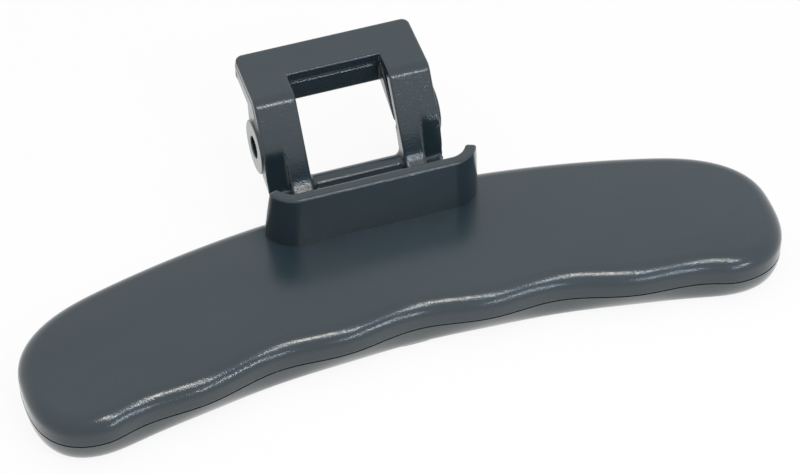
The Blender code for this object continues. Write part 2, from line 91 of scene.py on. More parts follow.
# %% Sizes of collar and lug
COLLAR_FRONT = 11.6             # from the grip's far edge in to the collar's front
COLLAR_REACH = 4.1              # beyond the lug's side, at the foot
COLLAR_CORNER = 6.5             # outer corner radius in plan
COLLAR_WALL = 2.3
COLLAR_RISE = 13.2              # above the grip's top face
COLLAR_TURN_FOOT = math.radians(88)  # how far each end turns back at the foot
COLLAR_TURN_TOP = math.radians(68)  # and at the top
COLLAR_DRAFT = 0.4              # the top is this much shorter at each end
LUG_HALF = 19.0                 # half width over the cheeks
LUG_TOP = 31.0
LUG_BACK = 27.6
LUG_CORNER = 1.7                # rear corners in plan
TOP_FALL = 0.6                  # the top plate drops this much from back to fold
FOLD_Y = 12.9                   # where slope and top plate meet
FOLD_RADIUS = 3.0
SLOPE_FOOT_Y = 0.5              # where the slope would meet the floor
FLARE_RADIUS = 9.5
FLARE_SINK = 0.15               # the flare's own foot lies this far below the floor
FLOOR_RISE = 0.4                # of the lug's floor above the grip's rim
WEB = 2.5                       # thickness of slope and top plate
CHEEK_WALL = 1.3
SKIRT = 4.6                     # height of the top plate's side and rear edge
SKIRT_WALL = 2.0
SIDE_FOOT_Y = 4.1               # beside each strut the front drops steeply to the floor
SIDE_BEND_Z = 21.2              # from this height on the slope
SIDE_WALL = 2.2
WINDOW_SIDE = 8.9               # from the lug's side to the window
WINDOW_BACK = 19.0
WINDOW_LIP = 8.0                # depth of the wall round the window's upper part
WINDOW_WALL = 2.3
STRUT_SIDE = 4.5                # from the lug's side to the strut beside the window
STRUT_KNEE = (9.2, 19.4)        # where the deep wall starts
STRUT_REAR = 6.8
BAR_Y = 4.4                     # cross bar at the foot of the window
BAR_RADIUS = 2.1
PIVOT_Y = 12.4
PIVOT_Z = 18.8
PIVOT_DIAMETER = 4.8
LOBE_RADIUS = 5.8
LOBE_STEP = 0.6                 # the cheek's own outline stays this far inside the lobe
BOSS_PROUD = 0.6
BOSS_RADIUS = 3.9
BOSS_LENGTH = 2.2               # inside the cheek
ROOT_SIDE = 0.8                 # the root is this much narrower at each side
ROOT_BACK = 6.9
ROOT_STEP = 0.5                 # the root stops this far above the seam
CORE_WALL = 2.3
print("lug, mm:", 2 * LUG_HALF, "wide,", LUG_TOP, "high")

# %% Sizes that follow from others
FLOOR = GRIP_HEIGHT + FLOOR_RISE
COLLAR_HALF = LUG_HALF + COLLAR_REACH
WINDOW_HALF = LUG_HALF - WINDOW_SIDE
STRUT_OUTER = LUG_HALF - STRUT_SIDE
ROOT_HALF = LUG_HALF - ROOT_SIDE
ROOT_BOTTOM = SEAM_HEIGHT + SEAM_GAP + ROOT_STEP
SLOPE_RISE = LUG_TOP - TOP_FALL - FLOOR
SIDE_BEND_Y = SLOPE_FOOT_Y + (FOLD_Y - SLOPE_FOOT_Y) * (SIDE_BEND_Z - FLOOR) / SLOPE_RISE

MM = 0.001
SHIFT_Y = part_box("front_moulding")[1][1] / MM - LUG_BACK
print("shift along Y, mm:", round(SHIFT_Y, 3))

# %% [markdown]
# ## The photographer's camera
#
# The picture was taken from the left and from above, from about 0.63 m, with a long lens.
# A camera could be moved by hand until it looks right. Here it is placed by its angles
# round a point on the grip instead, because an angle is easy to correct by a known amount.
# A small lens shift then sets the handle in the frame as the picture has it.

# %% Camera
VIEW_AZIMUTH = math.radians(-18.84)
VIEW_ELEVATION = math.radians(47.06)
VIEW_DISTANCE = 0.63184
VIEW_TARGET = np.array((6.64, -23.8 + SHIFT_Y, 0.0)) * MM
FOCAL_PIXELS = 3065.27
SHIFT_PIXELS = (-30, 63)
FRAME_WIDTH = 800
SENSOR_WIDTH = 36
NEAR_CLIP = 0.01

view_back = np.array((math.sin(VIEW_AZIMUTH) * math.cos(VIEW_ELEVATION),
                      -math.cos(VIEW_AZIMUTH) * math.cos(VIEW_ELEVATION),
                      math.sin(VIEW_ELEVATION)))
camera_data = bpy.data.cameras.new("camera")
camera_data.sensor_width = SENSOR_WIDTH
camera_data.lens = FOCAL_PIXELS / FRAME_WIDTH * SENSOR_WIDTH
camera_data.shift_x = SHIFT_PIXELS[0] / FRAME_WIDTH
camera_data.shift_y = SHIFT_PIXELS[1] / FRAME_WIDTH
camera_data.clip_start = NEAR_CLIP
camera = bpy.data.objects.new("camera", camera_data)
bpy.context.scene.collection.objects.link(camera)
camera.location = VIEW_TARGET + VIEW_DISTANCE * view_back
camera.rotation_mode = "QUATERNION"
camera.rotation_quaternion = Vector(-view_back).to_track_quat("-Z", "Y")
bpy.context.scene.camera = camera
print("camera at", [round(c, 4) for c in camera.location], "lens", round(camera_data.lens, 1))

# %% [markdown]
# ## A helper that turns arrays into a piece
#
# A mesh could be built point by point with bmesh, which is slow for surfaces as fine as
# these. So points and faces go into the mesh as whole arrays. The helper moves millimetres
# and the Y shift into the points, so that the object itself stays at the origin, and lets
# the piece ride on the handle's one body.

# %% Mesh helper
def make_piece(name, points, quads, normals=None):
    """A mesh object from an (n, 3) array in mm and an (m, 4) array of quad corners."""
    mesh = bpy.data.meshes.new(name)
    mesh.vertices.add(len(points))
    placed = (points + (0, SHIFT_Y, 0)) * MM
    mesh.vertices.foreach_set("co", placed.astype(np.float32).ravel())
    mesh.loops.add(quads.size)
    mesh.loops.foreach_set("vertex_index", quads.astype(np.int32).ravel())
    mesh.polygons.add(len(quads))
    mesh.polygons.foreach_set("loop_start", np.arange(0, quads.size, 4, dtype=np.int32))
    mesh.update(calc_edges=True)
    mesh.validate()
    mesh.shade_smooth()
    if normals is not None:
        mesh.normals_split_custom_set_from_vertices(normals)
    piece = bpy.data.objects.new(name, mesh)
    bpy.context.scene.collection.objects.link(piece)
    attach(piece, "root")
    print(name, len(points), "points", 2 * len(quads), "triangles")
    return piece


def ring_quads(rings, count):
    """Quad corners between neighbouring rings of equally many points, each ring closed."""
    row, column = np.meshgrid(np.arange(rings - 1), np.arange(count), indexing="ij")
    following = (column + 1) % count
    return np.stack([row * count + column, row * count + following,
                     (row + 1) * count + following, (row + 1) * count + column], -1).reshape(-1, 4)


print("faces between 3 rings of 8 points:", len(ring_quads(3, 8)))

# %% [markdown]
# ## Plan of the grip
#
# Seen from above the grip is a boomerang between two arcs with squared-off round ends. The
# near edge has five shallow finger grooves. It could be a curve with handles that are
# pulled into place, but arcs, a superellipse and a cosine need only a few sizes and give
# the same outline each time. The plan is computed once, as a closed curve with several
# hundred points, and every ring of the two mouldings starts from it.

# %% Outline of the grip
def outer_edge(x):
    """Far edge: circle of OUTER_RADIUS through the origin."""
    return np.sqrt(OUTER_RADIUS**2 - x**2) - OUTER_RADIUS


def inner_edge(x):
    """Near edge: circle of INNER_RADIUS, one grip width nearer."""
    return np.sqrt(INNER_RADIUS**2 - x**2) - INNER_RADIUS - GRIP_WIDTH


def grip_outline(arc_points, cap_points):
    """Closed outline, the spine point beside each point, and the share of the wave it takes.

    Two arcs, joined at each end by a superellipse: along = cos(t)^(2/n), across = sin(t)^(2/n),
    whose sides run on along the tangents of the arcs.
    """
    reach = GRIP_LENGTH / 2 - CAP_LENGTH
    x = np.linspace(-reach, reach, arc_points)
    theta = np.linspace(math.pi / 2, -math.pi / 2, cap_points + 2)[1:-1]
    along = np.cos(theta) ** (2 / CAP_POWER)
    across = np.sign(theta) * np.abs(np.sin(theta)) ** (2 / CAP_POWER)
    x_cap = reach + CAP_LENGTH * along
    far = outer_edge(reach) - reach / math.sqrt(OUTER_RADIUS**2 - reach**2) * (x_cap - reach)
    near = inner_edge(reach) - reach / math.sqrt(INNER_RADIUS**2 - reach**2) * (x_cap - reach)
    middle = (far + near) / 2 + CAP_SHIFT
    y_cap = middle + np.where(across > 0, far - middle, middle - near) * across
    right = np.stack([x_cap, y_cap], 1)
    outline = np.concatenate([np.stack([x, outer_edge(x)], 1), right,
                              np.stack([x[::-1], inner_edge(x[::-1])], 1), right[::-1] * (-1, 1)])
    ends = np.full(cap_points, reach)
    spine_x = np.concatenate([x, ends, x[::-1], -ends])
    spine = np.stack([spine_x, (outer_edge(spine_x) + inner_edge(spine_x)) / 2], 1)
    share = np.concatenate([0 * x, np.clip(-across, 0, 1) ** 2, 0 * x + 1,
                            np.clip(-across[::-1], 0, 1) ** 2])
    return outline, spine, share


ARC_POINTS = 281
CAP_POINTS = 61
OUTLINE, SPINE, NEAR_SHARE = grip_outline(ARC_POINTS, CAP_POINTS)
print("outline points:", len(OUTLINE))

# %% Rings
def grip_ring(inset, height, wave=1.0):
    """The outline with its grooves, moved in along its normals by inset, at a height.

    Groove: y += share * depth * fade * cos(2 pi x / pitch), which dips inwards at x = 0.
    """
    last = (WAVE_COUNT - 1) / 2 * WAVE_PITCH
    run_out = np.clip((np.abs(OUTLINE[:, 0]) - last) / WAVE_FADE, 0, 1)
    fade = 1 - run_out**2 * (3 - 2 * run_out)
    turns = OUTLINE[:, 0] / WAVE_PITCH
    groove = wave * NEAR_SHARE * WAVE_DEPTH * fade * np.cos(2 * math.pi * turns)
    plan = OUTLINE + np.stack([0 * groove, groove], 1)
    run = np.roll(plan, -1, 0) - np.roll(plan, 1, 0)
    run /= np.linalg.norm(run, axis=1)[:, None]
    plan = plan - inset * np.stack([-run[:, 1], run[:, 0]], 1)
    return np.column_stack([plan, np.full(len(plan), height)])


def toward_spine(ring, share, height):
    """The ring drawn in towards the spine, which it reaches at share 1."""
    plan = ring[:, :2] * (1 - share) + SPINE * share
    return np.column_stack([plan, np.full(len(ring), height)])


SPINE_MERGE = 0.00001


def ring_piece(name, rings):
    """A piece between rings whose first and last rings have run together on the spine."""
    quads = ring_quads(len(rings), len(OUTLINE))[:, ::-1]
    piece = make_piece(name, np.concatenate(rings), quads)
    weld = piece.modifiers.new("Spine", "WELD")
    weld.merge_threshold = SPINE_MERGE
    return piece


print("nearest point of the grip, mm:", round(grip_ring(0, 0)[:, 1].min(), 2))

# %% [markdown]
# ## The grip's shell
#
# The moulding's side starts with a small soft edge at the seam, rises, turns over a soft rim
# and runs into a slightly crowned top. An extruded plan with a bevel could give the rim,
# but not the crown. So rings at close steps carry the section round the plan. The wall
# comes from a Solidify modifier, as the moulding has one even wall.

# %% Grip shell
SEAM_TURN = math.radians(40)
CROWN_SHARES = (0.04, 0.1, 0.2, 0.35, 0.5, 0.65, 0.8, 0.92, 1.0)


def shell_rings():
    """Seam edge, side, rim as a quarter circle, and crown z = top + CROWN * (1 - (1 - share)^2)."""
    level = SEAM_HEIGHT + SEAM_GAP + SEAM_EDGE * math.sin(SEAM_TURN)
    rings = [grip_ring(SEAM_EDGE * (1 - math.cos(a)), level - SEAM_EDGE * math.sin(a))
             for a in np.linspace(SEAM_TURN, 0, 6)]
    rings += [grip_ring(0, z) for z in np.linspace(level, GRIP_HEIGHT - RIM_RADIUS, 4)[1:-1]]
    for a in np.linspace(0, math.pi / 2, 15):
        rings.append(grip_ring(RIM_RADIUS * (1 - math.cos(a)),
                               GRIP_HEIGHT - RIM_RADIUS * (1 - math.sin(a))))
    rim = rings[-1]
    for share in CROWN_SHARES:
        rings.append(toward_spine(rim, share, GRIP_HEIGHT + CROWN * (1 - (1 - share) ** 2)))
    return rings


shell = ring_piece("grip_shell", shell_rings())
wall = shell.modifiers.new("Wall", "SOLIDIFY")
wall.thickness = WALL * MM
wall.offset = -1
wall.use_even_offset = True
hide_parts("front_moulding")

# %% [markdown]
# ## The back cover
#
# The cover is a dish: a flat underside, a side that tapers out to the seam in a quarter
# ellipse, and a thin lip that stands inside the shell's wall. It could be a shell with the
# lip joined to it, but one closed run of rings makes all of it without any joint, from the
# spine underneath to the spine inside.

# %% Back cover
SHARP_ANGLE = math.radians(40)


def cover_rings():
    """Underside, side z = H (1 - sin a) with inset taper (1 - cos a), seam, lip, inside floor."""
    underside = grip_ring(COVER_TAPER, 0, 0)
    rings = [toward_spine(underside, share, 0) for share in (1.0, 0.5, 0.1)] + [underside]
    top = SEAM_HEIGHT + SEAM_GAP - SEAM_SHOWN
    for a in np.linspace(math.pi / 2, 0, 13)[1:]:
        height = top * (1 - math.sin(a))
        rings.append(grip_ring(COVER_TAPER * (1 - math.cos(a)), height, height / top))
    lip_outer = WALL + LIP_GAP
    lip_top = SEAM_HEIGHT + LIP_HEIGHT
    lip_inner = lip_outer + LIP_WALL
    rings += [grip_ring(lip_outer, top), grip_ring(lip_outer, lip_top),
              grip_ring(lip_inner, lip_top), grip_ring(lip_inner, COVER_WALL)]
    return rings + [toward_spine(rings[-1], 1, COVER_WALL)]


cover = ring_piece("cover_shell", cover_rings())
cover.data.set_sharp_from_angle(angle=SHARP_ANGLE)
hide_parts("back_cover")

# %% [markdown]
# ## Distances instead of faces
#
# A moulded lug has soft edges and small fillets everywhere, which are hard to model face by
# face, and a bevel breaks where many walls meet. So the lug is described by a signed
# distance: a function that is negative inside the plastic, zero on its surface and positive
# outside. Walls are joined and cut with rounded versions of min and max, and the rounding
# radius is the fillet that the mould has.

# %% Distance helpers
def round_max(a, b, radius):
    """Intersection with a convex edge of this radius: min(-r, max(a, b)) + |(a + r, b + r)|+."""
    corner = np.hypot(np.maximum(a + radius, 0), np.maximum(b + radius, 0))
    return np.minimum(np.maximum(a, b), -radius) + corner


def round_min(a, b, radius):
    """Union with a concave fillet of this radius."""
    return -round_max(-a, -b, radius)


def outline_distance(outline, y, z):
    """Signed distance to a closed (Y, Z) outline: nearest edge, sign by counting crossings."""
    start = np.array(outline)
    edge = np.roll(start, -1, 0) - start
    from_y = y[..., None] - start[:, 0]
    from_z = z[..., None] - start[:, 1]
    t = np.clip((from_y * edge[:, 0] + from_z * edge[:, 1]) / (edge**2).sum(1), 0, 1)
    nearest = np.hypot(from_y - t * edge[:, 0], from_z - t * edge[:, 1]).min(-1)
    straddles = (from_z < 0) != (from_z < edge[:, 1])
    rise = np.where(edge[:, 1] == 0, 1.0, edge[:, 1])
    left_of = from_y < from_z * edge[:, 0] / rise
    inside = (straddles & left_of).sum(-1) % 2 == 1
    return np.where(inside, -nearest, nearest)


def span(value, low, high):
    """Distance to the layer between two planes."""
    return np.abs(value - (low + high) / 2) - (high - low) / 2


def prism(flat, x, low, high, radius):
    """An outline's distance carried from one X to another, with rounded rims."""
    return round_max(flat, span(x, low, high), radius)


print("a sharp edge moves in by", round(float(round_max(0.0, 0.0, 1.0)), 3), "of its radius")

# %% [markdown]
# ## Profiles of the lug
#
# From the side the lug is a gooseneck: a flare at the floor, a straight slope, a fold and a
# top plate with a skirt behind. Each profile could be one long list of points. Instead it
# is a few corners with radii, which say what the bends are, and the same path at another
# depth gives the back of the web.

# %% Gooseneck
def rounded(corners):
    """A path through (y, z, radius) corners, with a circular arc at each inner corner."""
    path = []
    for i, (y, z, radius) in enumerate(corners):
        here = np.array((y, z), float)
        if radius == 0 or i in (0, len(corners) - 1):
            path.append(here)
            continue
        back = np.array(corners[i - 1][:2]) - here
        ahead = np.array(corners[i + 1][:2]) - here
        back /= np.linalg.norm(back)
        ahead /= np.linalg.norm(ahead)
        half = math.acos(np.clip(back @ ahead, -1, 1)) / 2
        centre = here + (back + ahead) / np.linalg.norm(back + ahead) * radius / math.sin(half)
        start = here + back * radius / math.tan(half) - centre
        sign = np.sign(back[1] * ahead[0] - back[0] * ahead[1])
        angle = sign * np.linspace(0, math.pi - 2 * half, 13)[:, None]
        path += list(centre + np.hstack([start[0] * np.cos(angle) - start[1] * np.sin(angle),
                                         start[0] * np.sin(angle) + start[1] * np.cos(angle)]))
    return path


def slope_direction():
    """Unit vector (Y, Z) up the slope."""
    run = np.array((FOLD_Y - SLOPE_FOOT_Y, LUG_TOP - TOP_FALL - FLOOR))
    return run / np.linalg.norm(run)


def gooseneck(depth):
    """Front face of flare, slope and top plate, moved back by depth into the plastic."""
    along = slope_direction()
    top_run = np.array((LUG_BACK - FOLD_Y, TOP_FALL))
    fall = top_run / np.linalg.norm(top_run)
    start = np.array((SLOPE_FOOT_Y, FLOOR)) + np.array((along[1], -along[0])) * depth
    foot_z = FLOOR - FLARE_SINK - depth
    foot_y = start[0] + (foot_z - start[1]) * along[0] / along[1]
    top_start = np.array((FOLD_Y, LUG_TOP - TOP_FALL)) + np.array((fall[1], -fall[0])) * depth
    reach = np.linalg.solve(np.column_stack([along, -fall]), top_start - start)[0]
    fold = start + along * reach
    back_z = top_start[1] + (LUG_BACK - top_start[0]) * fall[1] / fall[0]
    return rounded([(-COLLAR_FRONT + COLLAR_WALL / 2, foot_z, 0),
                    (foot_y, foot_z, FLARE_RADIUS + depth),
                    (fold[0], fold[1], FOLD_RADIUS - depth),
                    (LUG_BACK, back_z, 0)])


def web_profile():
    """Front and back of the web, with the skirt that hangs from the rear edge."""
    front = gooseneck(0)[1:]
    rear = gooseneck(WEB)[1:]
    low = LUG_TOP - SKIRT
    inner = LUG_BACK - SKIRT_WALL
    rear[-1] = np.array((inner, rear[-1][1]))
    return front + [np.array((LUG_BACK, low)), np.array((inner, low))] + rear[::-1]


print("points round the web:", len(web_profile()))

# %% Profiles of cheek and side wall
CHEEK_PROUD = (0.8, 0.2)
SIDE_WALL_PROUD = (0.7, 0.3)
SIDE_BEND_RADIUS = 12.0
CUT_RUN = 9.0
OVERRUN = 2.0


def corner_list(*corners):
    """(Y, Z) corners as arrays, ready to be an outline."""
    return [np.array(corner) for corner in corners]


def cheek_profile():
    """Front, slope and top, the skirt's lower edge, and an arc just inside the pivot's lobe.

    The front starts a little ahead, by CHEEK_PROUD at foot and bend, and is cut flush later.
    """
    along = slope_direction()
    sunk = np.array((along[1], -along[0])) * WEB / 2
    fold = np.array((FOLD_Y, LUG_TOP - TOP_FALL)) + sunk
    lobe = np.radians(np.linspace(10, -110, 13))[:, None]
    circle = np.hstack([np.cos(lobe), np.sin(lobe)])
    arc = np.array((PIVOT_Y, PIVOT_Z)) + (LOBE_RADIUS - LOBE_STEP) * circle
    return corner_list(
        (SIDE_FOOT_Y - CHEEK_PROUD[0], FLOOR - FLOOR_RISE),
        (SIDE_BEND_Y - CHEEK_PROUD[1], SIDE_BEND_Z - WEB / 2),
        np.array((SIDE_BEND_Y, SIDE_BEND_Z)) + sunk,
        (fold[0], LUG_TOP - TOP_FALL - WEB / 2),
        (LUG_BACK - SKIRT_WALL / 2, LUG_TOP - WEB / 2),
        (LUG_BACK - SKIRT_WALL / 2, LUG_TOP - SKIRT),
        (PIVOT_Y + LOBE_RADIUS, LUG_TOP - SKIRT - TOP_FALL),
    ) + list(arc)


def side_wall_profile():
    """The wall beside a strut, from below the floor up into the web; its front is cut later."""
    low = FLOOR - WEB / 2
    return corner_list(
        (SIDE_FOOT_Y - SIDE_WALL_PROUD[0], low),
        (SIDE_BEND_Y - SIDE_WALL_PROUD[1], SIDE_BEND_Z - WEB / 2),
        (SIDE_BEND_Y + SIDE_WALL * 0.7, SIDE_BEND_Z),
        (SIDE_BEND_Y + SIDE_WALL * 0.9, SIDE_BEND_Z - WEB / 2),
        (SIDE_FOOT_Y + SIDE_WALL, low),
    )


def side_cut_profile():
    """All that lies ahead of the steep front beside a strut; its bend is a wide arc.

    Above the bend the cut leaves the slope at a small angle, 1 mm in CUT_RUN, so no edge
    shows where it ends.
    """
    along = slope_direction()
    bend = np.array((SIDE_BEND_Y, SIDE_BEND_Z))
    upper = bend + along * CUT_RUN + np.array((-along[1], along[0]))
    path = rounded([(SIDE_FOOT_Y, FLOOR, 0), (SIDE_BEND_Y, SIDE_BEND_Z, SIDE_BEND_RADIUS),
                    (upper[0], upper[1], 0)])
    ahead = -COLLAR_FRONT - OVERRUN
    return path + corner_list((ahead, upper[1]), (ahead, FLOOR))


print("points round cheek and cut:", len(cheek_profile()), len(side_cut_profile()))

# %% Profiles of window frame and root
def window_frame_profile():
    """Deep wall beside and behind the window's upper part, thin strut below."""
    front = [p for p in gooseneck(WEB / 2)[1:] if p[0] < FOLD_Y]
    return front + corner_list(
        (WINDOW_BACK + WINDOW_WALL, LUG_TOP - WEB / 2),
        (WINDOW_BACK + WINDOW_WALL, LUG_TOP - WINDOW_LIP),
        (WINDOW_BACK, LUG_TOP - WINDOW_LIP),
        STRUT_KNEE,
        (STRUT_REAR, FLOOR + BAR_RADIUS),
        (STRUT_REAR, FLOOR - WEB / 2),
    )


def root_profile():
    """Floor behind the collar, and the block that carries the lug."""
    return corner_list(
        (-COLLAR_FRONT + COLLAR_WALL / 2, FLOOR - WEB / 2),
        (-RIM_RADIUS, FLOOR - WEB / 2),
        (-WALL / 2, GRIP_HEIGHT - RIM_RADIUS),
        (-WALL / 2, ROOT_BOTTOM),
        (ROOT_BACK, ROOT_BOTTOM),
        (ROOT_BACK, FLOOR),
        (-COLLAR_FRONT + COLLAR_WALL / 2, FLOOR),
    )


print("points round frame and root:", len(window_frame_profile()), len(root_profile()))

# %% [markdown]
# ## The plastic of lug and collar as one distance
#
# The parts are joined in the order in which a toolmaker would cut them: web, cheeks, side
# walls, window frame, root, cross bar, bosses and bores, then the collar. They could be
# separate pieces, but then no fillet would run from one to the next. Their feet stand in
# the wall of the grip's shell, so the collar meets the grip in the crisp dark crease that
# the real one has, and nothing of them reaches through to the shell's inside.

# %% Web, cheeks and side walls
EDGE = 0.45
SMALL_EDGE = 0.3
CHEEK_FILLET = 0.5
SIDE_WALL_EDGE = 0.1
SIDE_WALL_INSET = 0.5
FILLET = 0.9
OVERLAP = 1.0


def plan_distance(x, y):
    """Plan of the lug, with its two rear corners rounded by LUG_CORNER."""
    plan_x = x - (LUG_HALF - LUG_CORNER)
    plan_y = y - (LUG_BACK - LUG_CORNER)
    outside = np.hypot(np.maximum(plan_x, 0), np.maximum(plan_y, 0))
    return outside + np.minimum(np.maximum(plan_x, plan_y), 0) - LUG_CORNER


def outer_lug_distance(x, y, z):
    """Web, cheeks and side walls, with the steep fronts beside the struts cut flush."""
    plan = plan_distance(x, y)
    solid = round_max(outline_distance(web_profile(), y, z), plan, EDGE)
    cheek = prism(outline_distance(cheek_profile(), y, z), x,
                  LUG_HALF - CHEEK_WALL, LUG_HALF, SMALL_EDGE)
    solid = round_min(solid, np.maximum(cheek, plan), CHEEK_FILLET)
    side = prism(outline_distance(side_wall_profile(), y, z), x,
                 STRUT_OUTER - OVERLAP, LUG_HALF - SIDE_WALL_INSET, SIDE_WALL_EDGE)
    solid = round_min(solid, side, SMALL_EDGE)
    cut = round_max(outline_distance(side_cut_profile(), y, z), STRUT_OUTER - x, FILLET)
    return round_max(solid, -cut, SMALL_EDGE)


print("past the rounded rear corner, mm:", round(float(plan_distance(LUG_HALF, LUG_BACK)), 2))

# %% Window, root and pivots
WINDOW_EDGE = 0.4
BAR_FILLET = 1.3
BORE_EDGE = 0.25


def root_distance(x, y, z):
    """The root block, cored from below."""
    root = round_max(outline_distance(root_profile(), y, z), x - ROOT_HALF, SMALL_EDGE)
    core_side = x - (ROOT_HALF - CORE_WALL)
    core = np.maximum(core_side, span(y, CORE_WALL / 2, ROOT_BACK - CORE_WALL))
    core = np.maximum(core, z - (FLOOR - CORE_WALL))
    return round_max(root, -core, SMALL_EDGE)


def lug_distance(x, y, z):
    """Signed distance of the whole lug. x is the distance from the middle plane."""
    solid = outer_lug_distance(x, y, z)
    window_frame = prism(outline_distance(window_frame_profile(), y, z), x,
                         -OVERLAP, WINDOW_HALF + WINDOW_WALL, SMALL_EDGE)
    solid = round_min(solid, window_frame, WINDOW_EDGE)
    window = np.maximum(x - WINDOW_HALF, y - WINDOW_BACK)
    solid = round_max(solid, -window, WINDOW_EDGE)
    solid = round_min(solid, root_distance(x, y, z), FILLET)
    bar = np.maximum(np.hypot(y - BAR_Y, z - FLOOR) - BAR_RADIUS, x - WINDOW_HALF - OVERLAP)
    solid = round_min(solid, bar, BAR_FILLET)
    pivot = np.hypot(y - PIVOT_Y, z - PIVOT_Z)
    middle = LUG_HALF - CHEEK_WALL / 2
    boss = round_max(pivot - BOSS_RADIUS,
                     span(x, LUG_HALF - CHEEK_WALL - BOSS_LENGTH, middle), SMALL_EDGE)
    lobe = round_max(pivot - LOBE_RADIUS, span(x, middle, LUG_HALF + BOSS_PROUD), SMALL_EDGE)
    solid = round_min(round_min(solid, boss, SMALL_EDGE), lobe, SMALL_EDGE)
    bore = np.maximum(pivot - PIVOT_DIAMETER / 2, STRUT_OUTER - x - OVERRUN)
    return round_max(solid, -bore, BORE_EDGE)


window_middle = np.array((0.0, (BAR_Y + WINDOW_BACK) / 2, (FLOOR + LUG_TOP) / 2))
print("from the window's middle to plastic, mm:", round(float(lug_distance(*window_middle)), 2))

# %% Collar, and all of it together
COLLAR_END_EDGE = 0.6
COLLAR_TOP_EDGE = 0.55
COLLAR_FILLET = 0.6
SKIN_DEPTH = 1.6


def collar_distance(x, y, z):
    """A wall along a line and an arc, |distance to it| - half wall, ended by a turned plane."""
    rise = np.clip((z - GRIP_HEIGHT) / COLLAR_RISE, 0, 1)
    turn = COLLAR_TURN_FOOT + (COLLAR_TURN_TOP - COLLAR_TURN_FOOT) * rise
    from_x = x - (COLLAR_HALF - COLLAR_DRAFT * rise - COLLAR_CORNER)
    from_y = y + COLLAR_FRONT - COLLAR_CORNER
    middle = COLLAR_CORNER - COLLAR_WALL / 2
    from_arc = np.abs(np.hypot(from_x, from_y) - middle)
    line = np.where(from_x < 0, np.abs(from_y + middle), from_arc)
    end = from_x * np.cos(turn) + from_y * np.sin(turn)
    wall_part = round_max(line - COLLAR_WALL / 2, end, COLLAR_END_EDGE)
    top = z - GRIP_HEIGHT - COLLAR_RISE
    return np.maximum(round_max(wall_part, top, COLLAR_TOP_EDGE), GRIP_HEIGHT - WALL / 2 - z)


def skin_distance(x, y, z):
    """The grip's top and rim: the crown, rounded over the far arc by RIM_RADIUS."""
    inset = OUTER_RADIUS - np.hypot(x, y + OUTER_RADIUS)
    share = np.clip((inset - RIM_RADIUS) / (GRIP_WIDTH / 2 - RIM_RADIUS), 0, 1)
    top = GRIP_HEIGHT + CROWN * (1 - (1 - share) ** 2)
    return round_max(z - top, -inset, RIM_RADIUS)


def plastic_distance(x, y, z):
    """Lug and collar as one, down to SKIN_DEPTH below the grip's skin."""
    x = np.abs(x)
    solid = round_min(lug_distance(x, y, z), collar_distance(x, y, z), COLLAR_FILLET)
    return np.maximum(solid, -(skin_distance(x, y, z) + SKIN_DEPTH))


collar_middle = np.array((0.0, -COLLAR_FRONT + COLLAR_WALL / 2, GRIP_HEIGHT + COLLAR_RISE / 2))
print("in the collar's wall, mm:", round(float(plastic_distance(*collar_middle)), 2))

# %% [markdown]
# ## From distance to surface
#
# Blender's metaballs and voxel remesher also turn a volume into a surface, but they lose
# crisp sizes. Surface nets keep them and need no loop over points. The distance is sampled
# on a grid of small cubes. Each cube that the surface crosses gets one point, at the mean
# of the crossings on its edges, and each grid edge that is crossed joins the four cubes
# round it with a face. Then every point slides along the gradient until its distance is
# zero, which brings rounded edges out clean.

# %% Surface nets
def net_points_of(field, inside, low, step):
    """One point in each cube that is crossed, and each cube's point number, or -1.

    Point = mean over the crossed edges of the place where the distance, taken as linear, is 0.
    """
    total = np.zeros(tuple(n - 1 for n in field.shape) + (3,))
    crossings = np.zeros(total.shape[:3])
    corner = np.stack(np.meshgrid(*[np.arange(n - 1) for n in field.shape], indexing="ij"), -1)
    for axis in range(3):
        others = [a for a in range(3) if a != axis]
        for i in (0, 1):
            for j in (0, 1):
                pick_a = [slice(0, -1)] * 3
                pick_a[others[0]] = slice(i, field.shape[others[0]] - 1 + i)
                pick_a[others[1]] = slice(j, field.shape[others[1]] - 1 + j)
                pick_b = list(pick_a)
                pick_b[axis] = slice(1, None)
                a, b = field[tuple(pick_a)], field[tuple(pick_b)]
                crossed = inside[tuple(pick_a)] != inside[tuple(pick_b)]
                t = np.where(crossed, a / np.where(crossed, a - b, 1), 0)
                crossings += crossed
                total[..., axis] += t * crossed
                total[..., others[0]] += i * crossed
                total[..., others[1]] += j * crossed
    used = crossings > 0
    number = np.full(used.shape, -1)
    number[used] = np.arange(used.sum())
    return low + step * (corner[used] + total[used] / crossings[used][:, None]), number


def net_quads_of(inside, number):
    """One quad for each crossed grid edge: the points of the four cubes round it."""
    quads = []
    for axis in range(3):
        others = [a for a in range(3) if a != axis]
        lower = [slice(1, -1)] * 3
        lower[axis] = slice(0, -1)
        upper = list(lower)
        upper[axis] = slice(1, None)
        place = np.argwhere(inside[tuple(lower)] != inside[tuple(upper)])
        place[:, others] += 1
        around = []
        for back_i, back_j in ((1, 1), (0, 1), (0, 0), (1, 0)):
            cell = place.copy()
            cell[:, others[0]] -= back_i
            cell[:, others[1]] -= back_j
            around.append(number[tuple(cell.T)])
        quads.append(np.stack(around, 1))
    return np.concatenate(quads)


def distance_and_slope(points, reach=0.02):
    """The distance at each point and its gradient, by forward differences, as a unit vector."""
    here = plastic_distance(*points.T)
    ahead = [plastic_distance(*(points + step).T) for step in np.eye(3) * reach]
    slope = np.stack([there - here for there in ahead], 1)
    return here, slope / np.maximum(np.linalg.norm(slope, axis=1), 1e-9)[:, None]


above = np.array([(0.0, -COLLAR_FRONT + COLLAR_WALL / 2, LUG_TOP)])
print("slope above the collar:", distance_and_slope(above)[1].round(2))

